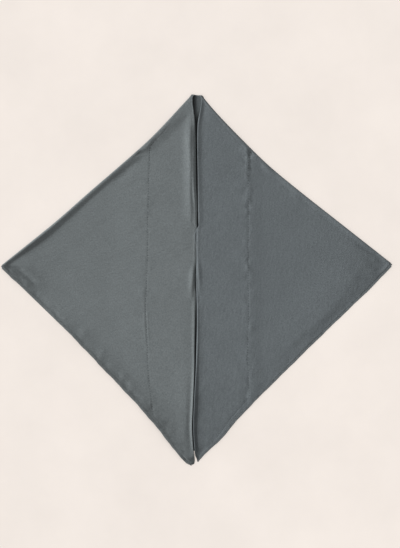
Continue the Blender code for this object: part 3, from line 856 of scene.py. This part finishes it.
darkening = np.zeros(cloth_points.shape[:2])
# painted shade on the rolls of both folds, more on the left one near the top
darkening[:, in_fold] = FOLD_SHADE
darkening[:, strip_number == LEFT_ROLL] += sets_in(rolls[LEFT][:, :, 1], TOP_FOLD_SHADE)
for side, number in ((LEFT, LEFT_FRONT), (RIGHT, RIGHT_FRONT)):
    face, width, stitch, offset = front_offsets(side)
    x = face + side * offset
    y = y_on_rows(x)
    upper = smooth((y - 0.20) / 0.06) * (1.0 - smooth((y - 0.345) / 0.03))
    # painted shade along the outer rims of the left front, strongest by the top fold, where the roll catches
    # the light
    front_darkening = (0.5 + 1.0 * upper) * np.exp(-(width - offset) / (0.004 + 0.0015 * upper)) * (side == LEFT)
    front_darkening = front_darkening + sets_in(np.abs(x), TIP_DARKENING)
    if side == LEFT:
        # darker in a band along the left hem
        from_hem = (width - offset) * ACROSS
        band = LEFT_HEM_DARKENING + sets_in(-y, LOW_HEM_DARKENING) + sets_in(-x, TIP_HEM_DARKENING)
        band = band * np.exp(-((from_hem / LEFT_HEM_REACH) ** 2)) * (~folded)[:, None]
        front_darkening = front_darkening + band * left_hem_share(y)
    else:
        # darker at the right tip and beyond the right stitch row
        front_darkening = front_darkening + sets_in(x, RIGHT_TIP_DARKENING) + sets_in(offset - stitch, RIGHT_OUTER_DARKENING)
        # painted shadow of the left rim on the right front below the slit
        front_darkening = front_darkening + sets_in(-y, SLIT_SHADOW) * np.exp(-(offset / SLIT_SHADOW_REACH))
    darkening[:, strip_number == number] = front_darkening if side == LEFT else front_darkening[:, ::-1]

# The right front's colour is the left one with painted shade, as the light falls from the left
CLOTH_LEFT = (0.145, 0.163, 0.168, 1.0)
CLOTH_RIGHT_SHADED = (0.120, 0.137, 0.146, 1.0)
marks = {"right_side": right_side, "inside": inside, "darkening": darkening}
cloth = sheet_mesh("cloth_sheet", cloth_points, ~cut, marks)
give_wall(cloth, WALL)
cloth.data.materials.append(cloth_material("cloth", CLOTH_LEFT, CLOTH_RIGHT_SHADED))
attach(cloth, "root")
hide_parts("cloth")

# Facing: a band of the same cloth, 10.8 cm wide, turned in along the whole long edge. It lies between front
# and back, follows the folds round the top, and shows only inside the V and the slit.
FACING_COLUMNS = 22
FACING_BACK_COLUMNS = 12
FACING_INSET = 0.0056
NARROW_FRONT = 0.112  # where a front is narrower, the band goes round its fold
SHADE_UNDER_FRONT = 0.80  # painted shade on the band, for how deep inside the garment it lies under a front, and then on the back
SHADE_ON_BACK = 0.95
LIGHT_IN_V = 0.90  # how much of that painted shade is taken off in the V, where the band is in the light
facing_rows = np.arange(0, ROWS - 5)


def facing_front(side):
    """Points of the band under one front, from its inner edge outwards."""
    face, width, stitch = front_offsets(side)[:3]
    inset = np.minimum(FACING_INSET, width / 3)
    rolled_over = folded[:, None] & (width <= stitch / STITCH_LIMIT + 1e-6) & (width < NARROW_FRONT)
    reach = np.where(rolled_over, width, np.minimum(stitch + 0.0025, width - 0.003))
    offset = inset + (reach - inset) * np.linspace(0.0, 1.0, FACING_COLUMNS)[None, :] ** 1.2
    x = face + side * offset
    y = y_on_rows(x)
    low = BASE + LAYER + (LAYER + FACED_LIFT) * back_faced(y)
    relief = np.maximum(DEEPEST, front_relief(side, width, stitch, offset, x, y))
    relief = np.where(relief > 0.0, 0.5 * relief * (1.0 - back_faced(y)), 0.75 * relief)
    return np.stack([x, y, low + relief], axis=2), rolled_over[:, 0]


facing_fronts, facing_over = {}, {}
for side in (LEFT, RIGHT):
    facing_fronts[side], facing_over[side] = facing_front(side)
facing_low = BASE + LAYER
facing_rolls = {side: fold_roll(side, facing_fronts[side][:, -1], facing_low) for side in (LEFT, RIGHT)}
share = np.linspace(0.0, 1.0, FACING_BACK_COLUMNS)[None, :]
across = facing_fronts[LEFT][:, -1, 0:1] * (1 - share) + facing_fronts[RIGHT][:, -1, 0:1] * share
facing_back = np.stack([across, y_on_rows(across), np.full(across.shape, facing_low)], axis=2)
strips = [
    facing_fronts[LEFT], facing_rolls[LEFT], facing_back,
    facing_rolls[RIGHT][:, ::-1], facing_fronts[RIGHT][:, ::-1],
]
facing_points = np.concatenate(strips, axis=1)[facing_rows]
strip_number = np.concatenate([np.full(strip.shape[1], i) for i, strip in enumerate(strips)])
is_back = np.isin(strip_number, (1, 2, 3))
between_fronts = is_back[:-1] | is_back[1:]
over = (facing_over[LEFT] & facing_over[RIGHT])[facing_rows]
facing_cut = (~over[1:])[:, None] & between_fronts[None, :]
facing_x, facing_y = facing_points[:, :, 0], facing_points[:, :, 1]
v_light = smooth((facing_x + 0.006) / 0.008) * smooth((facing_y - 0.345) / 0.025)
# painted shade on the band, less of it in the V where the band is in the light
depth = np.where(is_back, SHADE_ON_BACK - LIGHT_IN_V * v_light, SHADE_UNDER_FRONT)
marks = {
    "right_side": smooth(facing_x / 0.004 + 0.5),
    "inside": depth,
    "darkening": np.zeros(facing_points.shape[:2]),
}
facing = sheet_mesh("facing_band", facing_points, ~facing_cut, marks)
give_wall(facing, WALL)
# The band is the same cloth as the fronts; its colour is painted darker, as shade inside the V and the slit
FACING_SHADED_COLOUR = (0.118, 0.134, 0.140, 1.0)
facing.data.materials.append(cloth_material("facing", FACING_SHADED_COLOUR, FACING_SHADED_COLOUR))
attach(facing, "root")
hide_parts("facing")

# Hems: the lower edges of the cloth, turned twice and stitched, 6.5 mm wide. Each runs up a front to the
# side tip, round the end of the fold there, and down the back.
HEM_THICKNESS = 0.0010
HEM_LAP = 0.0010  # how far the hem reaches in over the cloth's own edge
HEM_LEAN = {LEFT: 0.077, RIGHT: 0.050}  # slope across a hem on a front, up towards its outer edge
HEM_STEPS = 2  # more rings between the rows of the cloth
HEM_INWARDS = 0.0004  # it lies this much further in than its lap
HEM_END = (0.42, 0.58, 0.013)  # share of the width at the bottom corner, the rest of it, and over what run
HEM_DARKENING = {LEFT: (0.9, 0.6), RIGHT: (0.1, 0.1)}  # darker: in the middle of the hem, and more towards its outer edge
HEM_HOLLOW_SHADE = 0.42  # painted shade in the hollows between its puckers
hem_random = np.random.RandomState(7)


def points_at(places, run, line):
    """Points of a line at some places of its run."""
    return np.stack([np.interp(places, run, line[:, k]) for k in range(3)], axis=1)


def hem_spine(side):
    """Middle line of a hem, and how it bulges and puckers along its run."""
    front = fronts[side][UPPER_ROWS - 1:, -1]
    roll = rolls[side][UPPER_ROWS - 1]
    column = 0 if side == LEFT else BACK_COLUMNS - 1
    under = back[UPPER_ROWS - 1:, column]
    line = np.concatenate([front[::-1], roll, under])
    run = np.concatenate(([0.0], np.cumsum(np.linalg.norm(np.diff(line, axis=0), axis=1))))
    places = np.linspace(0.0, run[-1], HEM_STEPS * len(line))
    line = points_at(places, run, line)
    pucker = np.zeros(len(places))
    place = 0.012
    while place < run[-1]:
        depth = hem_random.uniform(0.2, 1.0)
        pucker += depth * np.exp(-(((places - place) / hem_random.uniform(0.0016, 0.0034)) ** 2))
        place += hem_random.uniform(0.012, 0.028)
    return line, places, pucker


def hem_section(turns=12):
    """A flat loop: share across from -1 to 1, and share of the thickness."""
    angle = 2 * math.pi * np.arange(turns) / turns
    across = np.sign(np.cos(angle)) * np.abs(np.cos(angle)) ** 0.6
    up = np.sign(np.sin(angle)) * np.abs(np.sin(angle)) ** 0.8
    return across, up


def make_hem(name, side, material):
    """A hem, and what its stitches need: its line, its run, and where it is on top."""
    line, places, pucker = hem_spine(side)
    across, up = hem_section()
    way = np.append(hem_way(side), 0.0)
    height = smooth((line[:, 2] - WALL) / LAYER)
    width = (HEM_WIDTH + HEM_LAP) / 2
    rise = HEM_THICKNESS / 2 * (1.0 - 0.25 * pucker)
    end_share, rest, end_run = HEM_END
    taper = end_share + rest * smooth(places / end_run)[:, None]
    bulge = width * across[None, :] * (1.0 - 0.012 * pucker[:, None])
    ring_x = (width - HEM_LAP - HEM_INWARDS + bulge) * taper
    points = line[:, None, :] + way[None, None, :] * ring_x[:, :, None]
    lift = 0.00005 - 0.00010 * height - 0.00014 * pucker * height
    low = np.maximum(line[:, 2] + lift, HEM_THICKNESS / 2 + 0.00002)
    full = 0.25 + 0.75 * smooth((across + 1.0) / 1.5)  # it is thin where it meets the cloth
    points[:, :, 2] = low[:, None] + rise[:, None] * (up * full)[None, :]
    lean = HEM_LEAN[side] * height * hem_rise_share(side, line[:, 1]) * smooth(places / 0.03)
    points[:, :, 2] += lean[:, None] * ring_x  # a hem leans as the cloth beside it does
    rings, turns = points.shape[:2]
    number = np.arange(rings * turns).reshape(rings, turns)
    following = np.roll(number, -1, axis=1)
    faces = np.stack([number[:-1], following[:-1], following[1:], number[1:]], axis=2)
    faces = faces.reshape(-1, 4).tolist() + [number[0][::-1].tolist(), number[-1].tolist()]
    # painted shade in the pucker hollows; the hem is also darker across, more at its outer edge
    mean_darkening, outer_darkening = HEM_DARKENING[side]
    marks = {
        "right_side": 0.5 + 0.5 * side,
        "inside": HEM_HOLLOW_SHADE * pucker[:, None] * (across < 0.5),
        "darkening": (mean_darkening + outer_darkening * across) * (1.0 - 0.5 * pucker[:, None]),
    }
    marks = {mark: (np.zeros((rings, turns)) + value).reshape(-1) for mark, value in marks.items()}
    piece = mesh_piece(name, points.reshape(-1, 3), faces, marks)
    piece.data.materials.append(material)
    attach(piece, "root")
    return piece, line, places, height


# The right hem's colour is painted shade, as on the right front
HEM_LEFT = (0.146, 0.164, 0.168, 1.0)
HEM_RIGHT_SHADED = (0.121, 0.138, 0.146, 1.0)
hem_cloth = cloth_material("hem", HEM_LEFT, HEM_RIGHT_SHADED)
hems, hem_lines = [], {}
for name, node, side in (("hem_band_left", "hem_left", LEFT), ("hem_band_right", "hem_right", RIGHT)):
    piece, line, places, height = make_hem(name, side, hem_cloth)
    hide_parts(node)
    hems.append(piece)
    hem_lines[side] = (line, places, height)

# Stitches: polyester thread. A blind row, darker than the cloth and with a stitch every 5.6 mm, holds the
# turned-in band of each front, and a running row of about the cloth's colour holds each hem. Every stitch
# is a short arch that dives into the cloth.
THREAD_COLOUR = (0.026, 0.033, 0.035, 1.0)
HEM_THREAD_COLOUR = (0.105, 0.118, 0.122, 1.0)
STITCH_PITCH = 0.0056
STITCH_FORM = (0.0031, 0.00056, 0.00035)  # length, radius of the thread, rise of the arch
HEM_STITCH_PITCH = 0.0034
HEM_STITCH_FORM = (0.0024, 0.00022, 0.0002)
HEM_STITCH_HEIGHT = 0.00035  # above the hem's middle and half its thickness
HEM_STITCH_OUTWARDS = 0.0004
THREAD_SIDES = 6
THREAD_RINGS = 5


def thread_material(name, thread_colour):
    material, tree, shader = start_material(name)
    where = add_node(tree, "ShaderNodeTexCoord").outputs["Object"]
    twist = add_node(tree, "ShaderNodeTexWave", {"Vector": where, "Scale": 900.0, "Distortion": 1.5},
                     bands_direction="DIAGONAL").outputs["Fac"]
    tone = swing(tree, twist, 0.12)
    colour = add_node(tree, "ShaderNodeHueSaturation", {"Color": thread_colour, "Value": tone})
    tree.links.new(colour.outputs["Color"], shader.inputs["Base Color"])
    bump = add_node(tree, "ShaderNodeBump", {"Strength": 0.4, "Distance": 0.0001, "Height": twist})
    tree.links.new(bump.outputs["Normal"], shader.inputs["Normal"])
    shader.inputs["Roughness"].default_value = 0.55
    shader.inputs["Sheen Weight"].default_value = 0.1
    return material


def ways_along(points):
    ways = np.gradient(points, axis=0)
    return ways / np.linalg.norm(ways, axis=1)[:, None]


def stitches(name, middles, ways, form, material):
    """Many short arches of thread as one mesh."""
    length, radius, rise = form
    share = np.linspace(-1.0, 1.0, THREAD_RINGS)
    turn = 2 * math.pi * np.arange(THREAD_SIDES) / THREAD_SIDES
    thickness = radius * np.sqrt(np.maximum(0.08, 1.0 - share**4))
    sideways = np.stack([-ways[:, 1], ways[:, 0], 0 * ways[:, 0]], axis=1)
    along = share[None, :, None, None] * (length / 2) * ways[:, None, None, :]
    beside = (thickness[:, None] * np.cos(turn))[None, :, :, None] * sideways[:, None, None, :]
    points = middles[:, None, None, :] + along + beside
    arch = rise * (1.0 - share**2) - 0.6 * radius
    points[..., 2] += (arch[:, None] + thickness[:, None] * np.sin(turn))[None]
    count = len(middles)
    number = np.arange(count * THREAD_RINGS * THREAD_SIDES).reshape(count, THREAD_RINGS, THREAD_SIDES)
    following = np.roll(number, -1, axis=2)
    faces = np.stack([number[:, :-1], following[:, :-1], following[:, 1:], number[:, 1:]], axis=3)
    faces = faces.reshape(-1, 4).tolist() + number[:, 0, ::-1].tolist() + number[:, -1].tolist()
    piece = mesh_piece(name, points.reshape(-1, 3), faces, {})
    piece.data.materials.append(material)
    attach(piece, "root")
    return piece


thread = thread_material("thread", THREAD_COLOUR)
hem_thread = thread_material("hem_thread", HEM_THREAD_COLOUR)
STITCH_ENDS = {LEFT: (0.306, -0.296), RIGHT: (0.273, -0.258)}
HEM_STITCH_MARGIN = 0.006  # the running row starts and ends this far from the ends of the hem
sewing_random = np.random.RandomState(41)
for name, side in (("stitch_row_left", LEFT), ("stitch_row_right", RIGHT)):
    top_y, low_y = STITCH_ENDS[side]
    line = fronts[side][:, STITCH_COLUMN]
    y = np.arange(top_y, low_y, -STITCH_PITCH)
    y = y + sewing_random.uniform(-0.0007, 0.0007, len(y))
    middles = points_at(-y, -line[:, 1], line)
    middles[:, 0] += sewing_random.uniform(-0.0004, 0.0004, len(y))
    middles[:, 2] += WALL / 2 + sewing_random.uniform(-0.00010, 0.00012, len(y))
    stitches(name, middles, ways_along(middles), STITCH_FORM, thread)

for name, side in (("hem_stitches_left", LEFT), ("hem_stitches_right", RIGHT)):
    line, places, height = hem_lines[side]
    at = np.arange(HEM_STITCH_MARGIN, places[-1] - HEM_STITCH_MARGIN, HEM_STITCH_PITCH)
    middles = points_at(at, places, line)
    ways = ways_along(middles)
    middles[:, :2] += hem_way(side) * HEM_STITCH_OUTWARDS
    on_top = np.interp(at, places, height) > 0.9
    middles, ways = middles[on_top], ways[on_top]
    middles[:, 2] += HEM_STITCH_HEIGHT + HEM_THICKNESS / 2
    stitches(name, middles, ways, HEM_STITCH_FORM, hem_thread)
